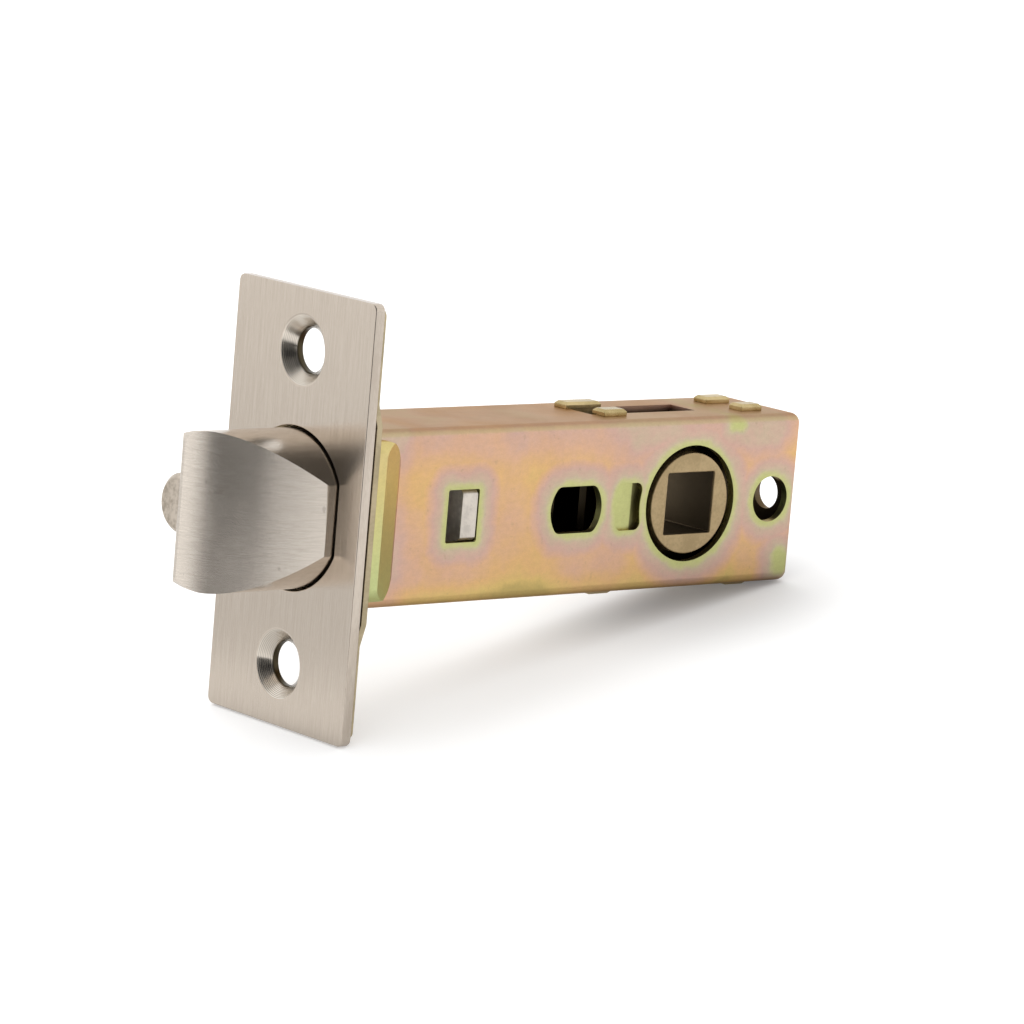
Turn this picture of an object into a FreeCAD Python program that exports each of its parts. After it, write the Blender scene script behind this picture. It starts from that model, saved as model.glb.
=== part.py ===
import FreeCAD, Part
import math
import os
import re
import Sketcher
from FreeCAD import Placement, Rotation, Vector

# Tubular door latch: a sprung bolt and a plunger behind a faceplate, worked by a hub in a steel case.
# Frame: the origin is the middle of the faceplate's outer face, +X runs into the door, +Z up the door edge.
# The bolt points to -X, and its bevelled side is -Y.

SIZES = (
    # Faceplate and the inner forend behind it
    ("plate_height", 57.0),
    ("plate_width", 28.5),
    ("plate_thickness", 1.5),
    ("plate_corner", 1.0),
    ("screw_spacing", 41.0),
    ("screw_hole_radius", 2.9),
    ("countersink_radius", 4.6),
    ("forend_thickness", 0.9),
    ("forend_inset", 0.75),
    ("forend_step", 0.8),
    ("forend_step_height", 12.8),
    ("forend_ramp", 2.8),
    # Case
    ("wall", 1.1),
    ("case_width", 16.0),
    ("case_height", 23.3),
    ("case_middle", -2.6),
    ("case_end", 79.8),
    ("case_corner", 1.4),
    ("flange_radius", 4.7),
    ("flange_height", 21.0),
    ("flange_corner", 3.5),
    ("flange_inset", 1.25),
    ("flare_angle", 30.0),
    ("flare_end_radius", 2.2),
    ("backset", 60.0),
    ("hub_window_radius", 7.95),
    ("rear_hole_distance", 14.8),
    ("rear_hole_radius", 3.15),
    ("front_slot_distance", 20.35),
    ("front_slot_radius", 4.45),
    ("front_slot_height", 6.3),
    ("front_slot_corner", 1.2),
    ("end_hole_radius", 2.35),
    ("end_hole_spacing", 6.0),
    ("side_window_start", 17.5),
    ("side_window_length", 5.2),
    ("side_window_height", 7.0),
    ("side_window_corner", 0.3),
    ("top_window_start", 45.8),
    ("top_window_length", 18.7),
    ("stop_inner_radius", 9.1),
    ("stop_outer_radius", 13.4),
    ("stop_height", 6.4),
    ("stop_corner", 1.0),
    ("stop_depth", 0.85),
    # Bolt
    ("bolt_throw", 15.6),
    ("bolt_travel", 13.0),
    ("bolt_bevel_start", 1.3),
    ("bolt_bevel_radius", 22.0),
    ("bolt_nose_radius", 0.8),
    ("bolt_nose_setback", 0.4),
    ("bolt_tip_corner", 1.8),
    ("bolt_inside_length", 6.6),
    ("bolt_case_gap", 0.15),
    ("bolt_plate_gap", 0.3),
    # Plunger
    ("plunger_radius", 3.9),
    ("plunger_throw", 13.3),
    ("plunger_inside_length", 7.2),
    ("plunger_plate_gap", 0.25),
    ("plunger_bolt_gap", 0.3),
    ("plunger_nose_chamfer", 0.6),
    ("plunger_bore_radius", 2.1),
    ("plunger_bore_depth", 14.0),
    ("heel_height", 11.8),
    ("heel_thickness", 2.8),
    ("heel_gap", 0.2),
    # Guide block
    ("block_length", 10.0),
    ("block_gap", 0.1),
    ("block_clearance", 0.4),
    ("block_lug_chamfer", 0.5),
    ("block_lug_recess", 0.1),
    ("seat_reach", 4.5),
    ("spigot_radius", 1.0),
    ("spigot_length", 5.0),
    ("spring_bore_radius", 4.0),
    ("spring_bore_depth", 8.0),
    # Cheek plates
    ("cheek_thickness", 1.4),
    ("cheek_gap", 4.9),
    ("cheek_start", 44.9),
    ("cheek_end", 76.1),
    ("cheek_case_gap", 0.15),
    ("near_front_lug_start", 46.5),
    ("near_front_lug_end", 50.3),
    ("near_rear_lug_start", 71.4),
    ("near_rear_lug_end", 75.0),
    ("far_front_lug_start", 45.2),
    ("far_front_lug_end", 51.2),
    ("far_rear_lug_start", 70.6),
    ("far_rear_lug_end", 74.8),
    ("lug_slot_gap", 0.1),
    ("lug_head_height", 0.9),
    ("lug_head_rim_width", 0.55),
    ("lug_head_chamfer", 0.35),
    # Retractor
    ("retractor_thickness", 1.5),
    ("retractor_side_gap", 0.1),
    ("arm_inner", 5.6),
    ("arm_outer", 9.2),
    ("band_inner", 7.4),
    ("band_outer", 10.3),
    ("band_start_gap", 0.3),
    ("band_end_gap", 0.3),
    ("arm_slot_gap", 0.15),
    ("web_start", 2.2),
    ("web_end", 5.4),
    ("tab_thickness", 1.5),
    ("tab_clearance", 0.35),
    # Hub
    ("hub_radius", 6.9),
    ("hub_running_gap", 0.05),
    ("hub_face_recess", 0.1),
    ("hub_square", 8.4),
    ("hub_arm_reach", 9.3),
    ("hub_arm_radius", 1.2),
    ("hub_arm_gap", 0.2),
    ("hub_turn_angle", 88.7),
    # Pins, pillars and springs
    ("tail_pin_radius", 1.25),
    ("tail_pin_place", 3.8),
    ("pin_fit", 0.03),
    ("pillar_radius", 1.5),
    ("pillar_neck_radius", 0.9),
    ("front_pillar_distance", 12.9),
    ("front_pillar_lift", 4.4),
    ("rear_pillar_distance", 9.2),
    ("bolt_spring_radius", 3.3),
    ("bolt_spring_wire", 0.45),
    ("bolt_spring_turns", 9.0),
    ("bolt_spring_sides", 10.0),
    ("plunger_spring_radius", 1.6),
    ("plunger_spring_wire", 0.3),
    ("plunger_spring_turns", 12.0),
    ("plunger_spring_sides", 8.0),
    ("spring_seat_gap", 0.1),
)

# Places worked out from the sizes, each written once.
DERIVED = {
    "near_face": "(case_middle - case_width / 2)",
    "far_face": "(case_middle + case_width / 2)",
    "near_inner": "(near_face + wall)",
    "far_inner": "(far_face - wall)",
    "half_height": "(case_height / 2)",
    "inner_half_height": "(half_height - wall)",
    "forend_back": "(plate_thickness + forend_step + forend_thickness)",
    "forend_end": "(plate_height / 2 - forend_inset)",
    "forend_side": "(plate_width / 2 - forend_inset)",
    "flange_start": "(forend_back + wall + flange_radius)",
    "flange_end": "(plate_width / 2 - flange_inset)",
    "flare_run": "((flange_end + near_face) / tan(flare_angle * 1deg))",
    "flare_inner_start": "(flange_start - wall * tan(flare_angle * 1deg / 2))",
    "bolt_reach": "(bolt_throw - bolt_nose_setback)",
    "bolt_radius": "(inner_half_height - bolt_case_gap)",
    "bolt_near": "(near_inner + bolt_case_gap)",
    "bolt_far": "(far_inner - bolt_case_gap)",
    "bolt_hole_radius": "(bolt_radius + bolt_plate_gap)",
    "bolt_hole_near": "(bolt_near - bolt_plate_gap)",
    "plunger_flat": "(bolt_far + plunger_bolt_gap)",
    "plunger_middle": "(bolt_radius - plunger_radius)",
    "spring_middle": "((plunger_flat + plunger_middle + plunger_radius) / 2)",
    "bevel_run": "(bolt_throw - bolt_bevel_start)",
    "bevel_rise": "(bolt_far - bolt_near)",
    "bevel_chord": "sqrt(bevel_run * bevel_run + bevel_rise * bevel_rise)",
    "bevel_reach": "sqrt(bolt_bevel_radius * bolt_bevel_radius - bevel_chord * bevel_chord / 4)",
    "bevel_centre_x": "(-(bolt_throw + bolt_bevel_start) / 2 + bevel_reach * bevel_rise / bevel_chord)",
    "bevel_centre_y": "((bolt_far + bolt_near) / 2 + bevel_reach * bevel_run / bevel_chord)",
    "block_start": "(bolt_inside_length + bolt_travel + block_clearance)",
    "block_end": "(block_start + block_length)",
    "side_window_end": "(side_window_start + side_window_length)",
    "seat_face": "(far_face + seat_reach)",
    "spring_bottom": "(block_start + spring_bore_depth)",
    "near_cheek_inner": "(case_middle - cheek_gap / 2)",
    "near_cheek_outer": "(near_cheek_inner - cheek_thickness)",
    "far_cheek_inner": "(case_middle + cheek_gap / 2)",
    "far_cheek_outer": "(far_cheek_inner + cheek_thickness)",
    "cheek_half_height": "(inner_half_height - cheek_case_gap)",
    "lug_top": "(half_height + lug_head_height)",
    "retractor_near": "(near_cheek_inner + retractor_side_gap)",
    "retractor_far": "(retractor_near + retractor_thickness)",
    "hub_arm_near": "(retractor_far + hub_arm_gap)",
    "hub_arm_far": "(far_cheek_inner - hub_arm_gap)",
    "hub_near": "(near_face + hub_face_recess)",
    "hub_far": "(far_face - hub_face_recess)",
    "hub_rest_lean": "(hub_turn_angle / 2)",
    "knob_x": "(backset - hub_arm_reach * sin(hub_rest_lean * 1deg))",
    "knob_z": "(hub_arm_reach * cos(hub_rest_lean * 1deg))",
    "tab_face": "(knob_x + hub_arm_radius + tab_clearance)",
    "band_end": "(case_end - wall - bolt_travel - band_end_gap)",
    "rear_hole_x": "(backset + rear_hole_distance)",
    "front_slot_x": "(backset - front_slot_distance)",
    "front_pillar_x": "(backset - front_pillar_distance)",
    "rear_pillar_x": "(backset + rear_pillar_distance)",
}

LONG = 200.0

doc = FreeCAD.newDocument("door_latch")
sheet = doc.addObject("Spreadsheet::Sheet", "sizes")
for row, (alias, value) in enumerate(SIZES, start=1):
    sheet.set(f"A{row}", alias)
    sheet.set(f"B{row}", str(value))
    sheet.setAlias(f"B{row}", alias)
doc.recompute()

ALIASES = {alias for alias, value in SIZES}
SUBPARTS = []


def bound(text):
    """Write out a formula of named sizes so that every name points at its cell."""
    def replace(match):
        word = match.group()
        if word in ALIASES:
            return "sizes." + word
        if word in DERIVED:
            return bound(DERIVED[word])
        return word
    return re.sub(r"[A-Za-z_]+", replace, str(text))


def number(text):
    """The present value of a formula of named sizes."""
    return float(sheet.evalExpression(bound(text)))


def bind(obj, prop, text):
    obj.setExpression(prop, bound(text))


# Solids and booleans

def place(obj, x, y, z):
    bind(obj, "Placement.Base.x", x)
    bind(obj, "Placement.Base.y", y)
    bind(obj, "Placement.Base.z", z)


def block(name, x_range, y_range, z_range):
    """A box between named limits along each axis."""
    box = doc.addObject("Part::Box", name)
    bind(box, "Length", f"({x_range[1]}) - ({x_range[0]})")
    bind(box, "Width", f"({y_range[1]}) - ({y_range[0]})")
    bind(box, "Height", f"({z_range[1]}) - ({z_range[0]})")
    place(box, x_range[0], y_range[0], z_range[0])
    return box


TURNS = {
    "x": Rotation(Vector(0, 1, 0), 90),
    "y": Rotation(Vector(1, 0, 0), -90),
    "z": Rotation(),
}


def rod(name, axis, centre, radius, span):
    """A cylinder along an axis: centre gives its other two places, span its start and end."""
    cylinder = doc.addObject("Part::Cylinder", name)
    bind(cylinder, "Radius", radius)
    bind(cylinder, "Height", f"({span[1]}) - ({span[0]})")
    cylinder.Placement = Placement(Vector(), TURNS[axis])
    if axis == "x":
        place(cylinder, span[0], centre[0], centre[1])
    elif axis == "y":
        place(cylinder, centre[0], span[0], centre[1])
    else:
        place(cylinder, centre[0], centre[1], span[0])
    return cylinder


def combine(kind, name, shapes):
    result = doc.addObject(kind, name)
    result.Shapes = list(shapes)
    return result


def fuse(name, *shapes):
    return combine("Part::MultiFuse", name, shapes)


def common(name, *shapes):
    return combine("Part::MultiCommon", name, shapes)


def cut(name, base, *tools):
    result = doc.addObject("Part::Cut", name)
    result.Base = base
    result.Tool = tools[0] if len(tools) == 1 else fuse(name + "_tools", *tools)
    return result


def find_edges(shape, test):
    return [f"Edge{i}" for i, edge in enumerate(shape.Edges, start=1) if test(edge)]


def along(edge, axis):
    """True for a straight edge parallel to the axis."""
    if not isinstance(edge.Curve, Part.Line):
        return False
    return abs(abs(edge.Curve.Direction.dot(axis)) - 1) < 1e-6


def round_edges(name, base, size, test, kind="Part::Fillet"):
    """Fillet or chamfer the edges of a solid that pass the test."""
    doc.recompute()
    feature = doc.addObject(kind, name)
    feature.Base = base
    amount = number(size)
    names = find_edges(base.Shape, test)
    feature.Edges = [(int(edge[4:]), amount, amount) for edge in names]
    return feature


# Bodies and sketches

def new_body(name):
    return doc.addObject("PartDesign::Body", name)


def new_sketch(body, name, role, offset="0"):
    """A sketch on one of the body's own origin planes, moved along its normal."""
    sketch = body.newObject("Sketcher::SketchObject", name)
    plane = next(f for f in body.Origin.OriginFeatures if f.Role == role)
    sketch.AttachmentSupport = [(plane, "")]
    sketch.MapMode = "FlatFace"
    bind(sketch, "AttachmentOffset.Base.z", offset)
    return sketch


def pin_point(sketch, geometry, point, x, y):
    """Tie one point of a sketch to two formulas."""
    for kind, text in (("DistanceX", x), ("DistanceY", y)):
        index = sketch.addConstraint(Sketcher.Constraint(kind, -1, 1, geometry, point, number(text)))
        sketch.setExpression(f"Constraints[{index}]", bound(text))


def outline(sketch, points):
    """A closed outline of straight lines through points given as formulas."""
    places = [Vector(number(x), number(y), 0) for x, y in points]
    count = len(places)
    first = sketch.GeometryCount
    for i in range(count):
        sketch.addGeometry(Part.LineSegment(places[i], places[(i + 1) % count]), False)
    for i in range(count):
        following = first + (i + 1) % count
        sketch.addConstraint(Sketcher.Constraint("Coincident", first + i, 2, following, 1))
    for i, (x, y) in enumerate(points):
        pin_point(sketch, first + i, 1, x, y)


def rectangle(sketch, left, right, low, high):
    outline(sketch, [(left, low), (right, low), (right, high), (left, high)])


def disc(sketch, x, y, radius):
    circle = Part.Circle(Vector(number(x), number(y), 0), Vector(0, 0, 1), number(radius))
    geometry = sketch.addGeometry(circle, False)
    pin_point(sketch, geometry, 3, x, y)
    index = sketch.addConstraint(Sketcher.Constraint("Radius", geometry, number(radius)))
    sketch.setExpression(f"Constraints[{index}]", bound(radius))


def pad(body, name, sketch, length, reversed_side=False):
    feature = body.newObject("PartDesign::Pad", name)
    feature.Profile = sketch
    bind(feature, "Length", length)
    feature.Reversed = reversed_side
    return feature


def pocket(body, name, sketch, length, reversed_side=False):
    """A pocket, which has to take material away."""
    doc.recompute()
    before = body.Shape.Volume
    feature = body.newObject("PartDesign::Pocket", name)
    feature.Profile = sketch
    bind(feature, "Length", length)
    feature.Reversed = reversed_side
    doc.recompute()
    if body.Shape.Volume >= before:
        raise RuntimeError(f"{name} cuts nothing")
    return feature


def revolve(body, name, sketch, axis_role, kind="PartDesign::Revolution"):
    """Turn a sketch once round one of the body's origin axes."""
    feature = body.newObject(kind, name)
    feature.Profile = sketch
    feature.ReferenceAxis = (next(f for f in body.Origin.OriginFeatures if f.Role == axis_role), [""])
    feature.Angle = 360.0
    return feature


def dress(body, name, kind, size, test):
    """Fillet or chamfer the edges of the body's last feature that pass the test."""
    doc.recompute()
    base = body.Tip
    feature = body.newObject(kind, name)
    feature.Base = (base, find_edges(base.Shape, test))
    prop = "Radius" if kind.endswith("Fillet") else "Size"
    bind(feature, prop, size)
    return feature


def finish(obj, label):
    """Name a finished sub-part, which is then written to its own file."""
    obj.Label = label
    SUBPARTS.append(obj)


# Faceplate

def make_faceplate():
    body = new_body("faceplate_body")
    face = new_sketch(body, "faceplate_outline", "YZ_Plane")
    rectangle(face, "-plate_width / 2", "plate_width / 2", "-plate_height / 2", "plate_height / 2")
    pad(body, "faceplate_sheet", face, "plate_thickness")
    dress(body, "faceplate_corners", "PartDesign::Fillet", "plate_corner",
          lambda e: along(e, Vector(1, 0, 0)))
    screws = new_sketch(body, "faceplate_screw_holes", "YZ_Plane")
    for side in ("-", ""):
        disc(screws, "0", f"{side}screw_spacing / 2", "screw_hole_radius")
    pocket(body, "faceplate_drilling", screws, "plate_thickness", True)
    doc.recompute()

    opening = bolt_section("faceplate_bolt_opening", "bolt_hole_radius",
                           "bolt_hole_near", "bolt_hole_radius",
                           ("-plate_thickness", "2 * plate_thickness"))
    sinks = []
    for name, side in (("upper", ""), ("lower", "-")):
        cone = doc.addObject("Part::Cone", f"faceplate_{name}_countersink")
        bind(cone, "Radius1", "countersink_radius")
        bind(cone, "Radius2", "screw_hole_radius")
        bind(cone, "Height", "plate_thickness")
        cone.Placement = Placement(Vector(), TURNS["x"])
        place(cone, "0", "0", f"{side}screw_spacing / 2")
        sinks.append(cone)
    finish(cut("faceplate_part", body, opening, *sinks), "faceplate")


def bolt_section(name, radius, near, far, span):
    """A round bar along X, cut flat on its two Y sides."""
    bar = rod(name + "_bar", "x", ("0", "0"), radius, span)
    slab = block(name + "_slab", span, (near, far), (f"-{radius}", radius))
    return common(name, bar, slab)


def plunger_section(name, grow, span):
    """The plunger's half-round bar along X, grown all round by a gap."""
    radius = f"(plunger_radius + {grow})"
    bar = rod(name + "_bar", "x", ("plunger_middle", "0"), radius, span)
    slab = block(name + "_slab", span, (f"plunger_flat - {grow}", f"plunger_middle + {radius}"),
                 (f"-{radius}", radius))
    return common(name, bar, slab)


# Inner forend: one strip, set back behind the bolt's opening

def make_inner_forend():
    body = new_body("forend_body")
    side = new_sketch(body, "forend_profile", "XZ_Plane", "-forend_side")
    near = "plate_thickness"
    back = "plate_thickness + forend_step"
    step = "forend_step_height"
    ramp = "forend_step_height + forend_ramp"
    end = "forend_end"
    front_line = [(near, f"-{end}"), (near, f"-({ramp})"), (back, f"-{step}"),
                  (back, step), (near, ramp), (near, end)]
    rear_line = [(f"{x} + forend_thickness", z) for x, z in reversed(front_line)]
    outline(side, front_line + rear_line)
    pad(body, "forend_strip", side, "2 * forend_side")
    dress(body, "forend_bends", "PartDesign::Fillet", "forend_thickness",
          lambda e: along(e, Vector(0, 1, 0)) and abs(e.CenterOfMass.z) < number("forend_end") - 0.1)
    dress(body, "forend_corners", "PartDesign::Fillet", "plate_corner",
          lambda e: along(e, Vector(1, 0, 0)))
    screws = new_sketch(body, "forend_screw_holes", "YZ_Plane")
    for sign in ("-", ""):
        disc(screws, "0", f"{sign}screw_spacing / 2", "screw_hole_radius")
    pocket(body, "forend_drilling", screws, "2 * forend_back", True)
    span = ("0", "2 * forend_back")
    bolt = bolt_section("forend_bolt_opening", "bolt_hole_radius", "bolt_hole_near",
                        "bolt_far + plunger_bolt_gap", span)
    plunger = plunger_section("forend_plunger_opening", "plunger_plate_gap", span)
    finish(cut("forend_part", body, bolt, plunger), "inner_forend")


# Case: one drawn box, open at the front, with a flange on each side

def make_limits(name, front, sides, half):
    """The space that a flange may fill, with its rear corners rounded."""
    limits = block(name, (front, "flange_start"), sides, (f"-{half}", half))
    return round_edges(name + "_corners", limits, "flange_corner",
                       lambda e: along(e, Vector(0, 1, 0)) and e.CenterOfMass.x > number("flange_start") - 0.1)


def far_flange():
    """The far wall's front edge, bent outwards to lie on the inner forend."""
    middle = "far_face + flange_radius"
    half = "(flange_height / 2)"
    heights = (f"-{half}", half)
    outer = rod("far_flange_outer", "z", ("flange_start", middle), "flange_radius + wall", heights)
    inner = rod("far_flange_inner", "z", ("flange_start", middle), "flange_radius", heights)
    quarter = block("far_flange_bend_box", ("forend_back", "flange_start"), ("far_face - wall", middle), heights)
    bend = common("far_flange_bend", cut("far_flange_ring", outer, inner), quarter)
    leaf = block("far_flange_leaf", ("forend_back", "forend_back + wall"), (middle, "flange_end"), heights)
    limits = make_limits("far_flange_limits", "forend_back", ("far_face - wall", "flange_end"), half)
    opening = block("far_mouth_box", ("0", "flange_start"), ("far_inner - wall / 2", f"{LONG}"), heights)
    mouth = common("far_mouth", limits, opening)
    return common("far_flange", fuse("far_flange_sheet", bend, leaf), limits), mouth


def near_flare(name, front, points, half):
    """A wedge beside the near wall, wide at the forend, between two heights."""
    body = new_body(name + "_body")
    profile = new_sketch(body, name + "_profile", "XY_Plane", f"-{half}")
    outline(profile, points)
    pad(body, name + "_wedge", profile, f"2 * {half}")
    limits = make_limits(name + "_limits", front, ("-flange_end", "near_inner + wall"), half)
    return common(name, body, limits)


def near_flange():
    """The near wall's mouth, drawn outwards to a closed flare that meets the inner forend."""
    half = "(flange_height / 2)"
    outer = near_flare("near_flare", "forend_back", [
        ("forend_back", "near_inner"), ("forend_back", "-flange_end"),
        ("flange_start - flare_run", "-flange_end"), ("flange_start", "near_face"),
        ("flange_start", "near_inner")], half)
    rounded = block("near_flare_side", ("forend_back", "flange_start"), ("-flange_end", "near_inner + wall"),
                    (f"-{half}", half))
    side = round_edges("near_flare_side_rounded", rounded, "flare_end_radius",
                       lambda e: along(e, Vector(1, 0, 0)) and e.CenterOfMass.y < number("near_face"))
    inner_half = "(flange_height / 2 - wall)"
    hollow = near_flare("near_flare_hollow", "forend_back - wall", [
        ("forend_back - wall", "near_inner + wall / 2"), ("forend_back - wall", "wall - flange_end"),
        ("flare_inner_start - flare_run", "wall - flange_end"), ("flare_inner_start", "near_inner"),
        ("flare_inner_start", "near_inner + wall / 2")], inner_half)
    return common("near_flange", outer, side), hollow


def stop_shape(name, y_range, shrink):
    """The curved half-shear beside the hub, between two radii about the hub's axis."""
    outer = rod(name + "_outer", "y", ("backset", "0"), f"stop_outer_radius - {shrink}", y_range)
    inner = rod(name + "_inner", "y", ("backset", "0"), f"stop_inner_radius + {shrink}", y_range)
    ring = cut(name + "_ring", outer, inner)
    band = block(name + "_band", ("backset - stop_outer_radius", "backset - stop_inner_radius / 2"), y_range,
                 (f"-stop_height / 2 + {shrink}", f"stop_height / 2 - {shrink}"))
    return common(name, ring, band)


def make_case():
    body = new_body("case_body")
    section = new_sketch(body, "case_section", "YZ_Plane", "forend_back")
    rectangle(section, "near_face", "far_face", "-half_height", "half_height")
    pad(body, "case_block", section, "case_end - forend_back")
    front = number("forend_back") + 0.01
    dress(body, "case_corners", "PartDesign::Fillet", "case_corner", lambda e: e.BoundBox.XMax > front)
    inside = new_sketch(body, "case_inside", "YZ_Plane", "forend_back")
    rectangle(inside, "near_inner", "far_inner", "-inner_half_height", "inner_half_height")
    pocket(body, "case_hollow", inside, "case_end - wall - forend_back", True)

    half_window = "side_window_height / 2"
    near_wall = ("near_face - wall", "near_inner + wall / 2")
    far_wall = ("far_inner - wall / 2", "far_face + wall")
    through = ("near_face - wall", "far_face + wall")
    hub_hole = rod("case_hub_hole", "y", ("backset", "0"), "hub_window_radius", through)
    rear_hole = rod("case_rear_hole", "y", ("rear_hole_x", "0"), "rear_hole_radius", through)
    slot_round = rod("case_slot_round", "y", ("front_slot_x", "0"), "front_slot_radius", through)
    slot_band = block("case_slot_band",
                      ("front_slot_x - front_slot_radius", "front_slot_x + front_slot_radius"),
                      through, ("-front_slot_height / 2", "front_slot_height / 2"))
    front_slot = round_edges("case_front_slot", common("case_slot_flats", slot_round, slot_band),
                             "front_slot_corner", lambda e: along(e, Vector(0, 1, 0)))
    side_window = round_edges(
        "case_side_window",
        block("case_side_window_box", ("side_window_start", "side_window_end"), near_wall,
              (f"-{half_window}", half_window)),
        "side_window_corner", lambda e: along(e, Vector(0, 1, 0)))
    plunger_slot = block("case_plunger_slot", ("forend_back - wall", "side_window_end"), far_wall,
                         ("-plunger_radius - plunger_plate_gap", "plunger_radius + plunger_plate_gap"))
    heel_way = block("case_heel_way", ("forend_back - wall", "flange_start"),
                     ("far_inner - wall / 2", f"{LONG}"),
                     ("-heel_height / 2 - heel_gap", "heel_height / 2 + heel_gap"))
    end_holes = [rod(f"case_end_hole_{name}", "x", (f"case_middle {sign} end_hole_spacing / 2", "0"),
                     "end_hole_radius", ("case_end - 2 * wall", "case_end + wall"))
                 for name, sign in (("near", "-"), ("far", "+"))]
    lips = []
    for name, low, high in (("top", "inner_half_height - wall / 2", "half_height + wall"),
                            ("bottom", "-half_height - wall", "-inner_half_height + wall / 2")):
        lips.append(block(f"case_{name}_window",
                          ("top_window_start", "top_window_start + top_window_length"),
                          ("near_cheek_inner", "far_cheek_inner"), (low, high)))
        for cheek in ("near", "far"):
            sides = sorted((f"{cheek}_cheek_outer", f"{cheek}_cheek_inner"), key=number)
            for place_name in ("front", "rear"):
                lug = f"{cheek}_{place_name}_lug"
                lips.append(block(f"case_{name}_{cheek}_{place_name}_slot",
                                  (f"{lug}_start - lug_slot_gap", f"{lug}_end + lug_slot_gap"),
                                  (f"{sides[0]} - lug_slot_gap", f"{sides[1]} + lug_slot_gap"), (low, high)))

    near, near_hollow = near_flange()
    far, far_mouth = far_flange()
    walls = cut("case_walls", body, hub_hole, rear_hole, front_slot, side_window, *end_holes, *lips, far_mouth)
    dimple = round_edges("case_stop_recess",
                         stop_shape("case_stop_hollow", ("near_face - wall", "near_face + stop_depth"), "0"),
                         "stop_corner", lambda e: along(e, Vector(0, 1, 0)))
    boss = stop_shape("case_stop_boss", ("near_inner - wall / 2", "near_inner + stop_depth"), "wall / 8")
    with_flanges = fuse("case_with_flanges", walls, near, far, boss)
    finish(cut("case_part", with_flanges, near_hollow, dimple, plunger_slot, heel_way), "case_shell")


# Cheek plates: bearings for the hub, with lugs staked through the case

def make_cheek_plate(cheek):
    outer = f"{cheek}_cheek_outer"
    inner = f"{cheek}_cheek_inner"
    sides = sorted((outer, inner), key=number)
    name = f"cheek_plate_{cheek}"
    body = new_body(name + "_body")
    # The XZ plane's normal is -Y, so the pad runs from the far side of the plate towards -Y.
    face = new_sketch(body, name + "_outline", "XZ_Plane", f"-({sides[1]})")
    top = "cheek_half_height"
    edge = "half_height"
    lugs = []
    for lug in (f"{cheek}_front_lug", f"{cheek}_rear_lug"):
        lugs += [(f"{lug}_start", top), (f"{lug}_start", edge), (f"{lug}_end", edge), (f"{lug}_end", top)]
    upper = [("cheek_start", top)] + lugs + [("cheek_end", top)]
    lower = [(x, f"-{z}") for x, z in reversed(upper)]
    outline(face, upper + lower)
    pad(body, name + "_sheet", face, "cheek_thickness")
    holes = new_sketch(body, name + "_holes", "XZ_Plane", f"-({sides[1]})")
    disc(holes, "backset", "0", "hub_radius + hub_running_gap")
    disc(holes, "front_pillar_x", "front_pillar_lift", "pillar_neck_radius + pin_fit")
    disc(holes, "rear_pillar_x", "0", "pillar_neck_radius + pin_fit")
    pocket(body, name + "_drilling", holes, "cheek_thickness", True)
    notch = new_sketch(body, name + "_notch", "XZ_Plane", f"-({sides[1]})")
    rectangle(notch, "rear_hole_x - rear_hole_radius", "cheek_end + wall",
              "-rear_hole_radius - cheek_case_gap", "rear_hole_radius + cheek_case_gap")
    pocket(body, name + "_rear_notch", notch, "cheek_thickness", True)
    doc.recompute()

    heads = []
    for level, low, high in (("top", "half_height", "lug_top"), ("bottom", "-lug_top", "-half_height")):
        for place_name in ("front", "rear"):
            lug = f"{cheek}_{place_name}_lug"
            head_name = f"{name}_{level}_{place_name}_head"
            head = block(head_name + "_box", (f"{lug}_start - lug_slot_gap", f"{lug}_end + lug_slot_gap"),
                         (f"{sides[0]} - lug_head_rim_width", f"{sides[1]} + lug_head_rim_width"), (low, high))
            limit = number("lug_top") - 0.01
            heads.append(round_edges(head_name, head, "lug_head_chamfer",
                                     lambda e: abs(e.CenterOfMass.z) > limit, "Part::Chamfer"))
    finish(fuse(name + "_part", body, *heads), name)


# Guide block: die-cast, held by lugs in the case's side openings

def make_guide_block():
    height = "(inner_half_height - block_gap)"
    body = block("block_body", ("block_start", "block_end"),
                 ("near_inner + block_gap", "far_inner - block_gap"), (f"-{height}", height))
    eased = round_edges("block_eased", body, "block_lug_chamfer",
                        lambda e: along(e, Vector(1, 0, 0)), "Part::Chamfer")
    half = "(side_window_height / 2 - block_gap)"
    lug_box = block("block_lug_box", ("block_start", "side_window_end - block_gap"),
                    ("near_face + block_lug_recess", "near_inner + block_gap + wall"), (f"-{half}", half))
    lug = round_edges("block_lug", lug_box, "block_lug_chamfer",
                      lambda e: along(e, Vector(1, 0, 0)) and e.CenterOfMass.y < number("near_inner"),
                      "Part::Chamfer")
    seat_half = "(plunger_radius + plunger_plate_gap - block_gap)"
    seat = block("block_seat", ("block_start", "side_window_end - block_gap"),
                 ("far_inner - block_gap - wall", "seat_face"), (f"-{seat_half}", seat_half))
    spigot = rod("block_spigot", "x", ("spring_middle", "0"), "spigot_radius",
                 ("block_start - spigot_length", "block_start + wall"))
    solid = fuse("block_solid", eased, lug, seat, spigot)
    bore = rod("block_bore", "x", ("case_middle", "0"), "spring_bore_radius",
               ("block_start - wall", "spring_bottom"))
    ways = [block(f"block_{name}_way", ("block_start - wall", "block_end + wall"),
                  ("retractor_near - arm_slot_gap", "retractor_far + arm_slot_gap"), span)
            for name, span in (("upper", ("arm_inner - arm_slot_gap", "arm_outer + arm_slot_gap")),
                               ("lower", ("-arm_outer - arm_slot_gap", "-arm_inner + arm_slot_gap")))]
    finish(cut("block_part", solid, bore, *ways), "guide_block")


# Latch bolt: a round bar with two flats and a curved bevel

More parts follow.
